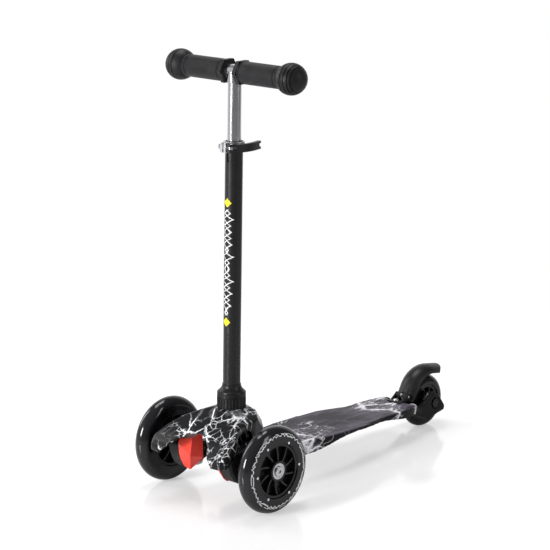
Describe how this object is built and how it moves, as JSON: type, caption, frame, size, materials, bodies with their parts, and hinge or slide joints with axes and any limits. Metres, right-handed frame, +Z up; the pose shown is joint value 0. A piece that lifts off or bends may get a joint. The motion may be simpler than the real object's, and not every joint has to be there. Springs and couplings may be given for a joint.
{
  "type": "kick scooter",
  "caption": "Child's kick scooter: big front wheels that steer by leaning, small braked rear wheel, slim moulded deck, hooded steering and a telescopic T-bar with ball-ended grips.",
  "frame": {"origin": "on the ground under the middle of the scooter's length and width", "axes": "+Z up, -Y the scooter's front, +X the rider's left"},
  "size_m": [0.248, 0.538, 0.6033],
  "materials": {
    "hood_black": "gloss",
    "satin_black": "satin",
    "cover_red": "gloss",
    "deck_plastic": "satin",
    "tyre_clear": "satin",
    "core_black": "satin",
    "lamp_clear": "gloss",
    "tube_black": "satin",
    "bar_silver": "polished",
    "clamp_silver": "satin",
    "grip_rubber": "matte",
    "steel": "satin",
    "spring_steel": "satin",
    "brass": "satin",
    "bush_plastic": "matte"
  },
  "bodies": {
    "chassis": {"deck": "deck_plastic", "steering_housing": "hood_black", "base_collar": "satin_black", "tube_sleeve": "satin_black", "lower_tube": "tube_black", "tube_plug": "bush_plastic", "tube_bush": "bush_plastic", "lock_spring": "spring_steel", "housing_screws": "steel", "kingpin_left": "steel", "kingpin_right": "steel", "kingpin_nut_left": "steel", "kingpin_nut_right": "steel", "centring_spring_left": "spring_steel", "centring_spring_right": "spring_steel", "clamp_collar": "clamp_silver", "clamp_bolt": "steel", "clamp_nut": "steel", "clamp_pin": "steel", "rear_axle_bolt": "steel", "rear_axle_nut": "steel", "rear_spacers": "steel", "brake_bracket": "steel", "brake_hinge_pin": "steel", "brake_spring": "spring_steel", "brake_bolt": "steel"},
    "handlebar": {"upper_tube": "bar_silver", "crossbar": "bar_silver", "grip_left": "grip_rubber", "grip_right": "grip_rubber"},
    "clamp_lever": {"clamp_lever": "satin_black"},
    "lock_button": {"lock_button": "satin_black"},
    "knuckle_left": {"knuckle_left": "satin_black", "knuckle_cover_left": "cover_red", "axle_insert_left": "brass", "front_axle_bolt_left": "steel", "tie_pin_left": "steel"},
    "knuckle_right": {"knuckle_right": "satin_black", "knuckle_cover_right": "cover_red", "axle_insert_right": "brass", "front_axle_bolt_right": "steel", "tie_pin_right": "steel"},
    "tie_rod": {"tie_rod": "satin_black"},
    "wheel_left": {"front_left_tyre": "tyre_clear", "front_left_wheel_core": "core_black", "front_left_bearings": "steel", "front_left_bearing_spacer": "steel", "front_left_lamps": "lamp_clear"},
    "wheel_right": {"front_right_tyre": "tyre_clear", "front_right_wheel_core": "core_black", "front_right_bearings": "steel", "front_right_bearing_spacer": "steel", "front_right_lamps": "lamp_clear"},
    "rear_wheel": {"rear_tyre": "tyre_clear", "rear_wheel_core": "core_black", "rear_bearings": "steel", "rear_bearing_spacer": "steel"},
    "brake_fender": {"brake_fender": "satin_black"}
  },
  "joints": [
    {"name": "knuckle_left_steer", "type": "hinge", "parent": "chassis", "child": "knuckle_left", "pos_m": [0.044, -0.207, 0.06], "axis": [0, -0.342, 0.9397], "range_deg": [-12, 12], "stiffness_Nm_per_rad": 1.5},
    {"name": "knuckle_right_steer", "type": "hinge", "parent": "chassis", "child": "knuckle_right", "pos_m": [-0.044, -0.207, 0.06], "axis": [0, -0.342, 0.9397], "range_deg": [-12, 12]},
    {"name": "tie_rod_swing", "type": "hinge", "parent": "knuckle_left", "child": "tie_rod", "pos_m": [0.044, -0.18445, 0.06821], "axis": [0, -0.342, 0.9397], "range_deg": [-12, 12]},
    {"name": "wheel_left_spin", "type": "hinge", "parent": "knuckle_left", "child": "wheel_left", "pos_m": [0.1, -0.201, 0.06], "axis": [1, 0, 0], "continuous": true},
    {"name": "wheel_right_spin", "type": "hinge", "parent": "knuckle_right", "child": "wheel_right", "pos_m": [-0.1, -0.201, 0.06], "axis": [1, 0, 0], "continuous": true},
    {"name": "rear_wheel_spin", "type": "hinge", "parent": "chassis", "child": "rear_wheel", "pos_m": [0, 0.229, 0.04], "axis": [1, 0, 0], "continuous": true},
    {"name": "handlebar_slide", "type": "slide", "parent": "chassis", "child": "handlebar", "axis": [0, 0.0279, 0.9996], "range_m": [-0.07, 0.055]},
    {"name": "clamp_lever_swing", "type": "hinge", "parent": "chassis", "child": "clamp_lever", "pos_m": [0.0105, -0.18403, 0.48268], "axis": [0, 0.0279, 0.9996], "range_deg": [-110, 0]},
    {"name": "lock_button_press", "type": "slide", "parent": "chassis", "child": "lock_button", "axis": [0, -0.9996, 0.0279], "range_m": [0, 0.003], "stiffness_N_per_m": 800},
    {"name": "brake_press", "type": "hinge", "parent": "chassis", "child": "brake_fender", "pos_m": [0, 0.185, 0.056], "axis": [1, 0, 0], "range_deg": [-8, 0], "stiffness_Nm_per_rad": 0.8, "springref_deg": 5.73}
  ],
  "couplings": [
    {"joint": "knuckle_right_steer", "follows": "knuckle_left_steer", "ratio": 1},
    {"joint": "tie_rod_swing", "follows": "knuckle_left_steer", "ratio": -1}
  ]
}
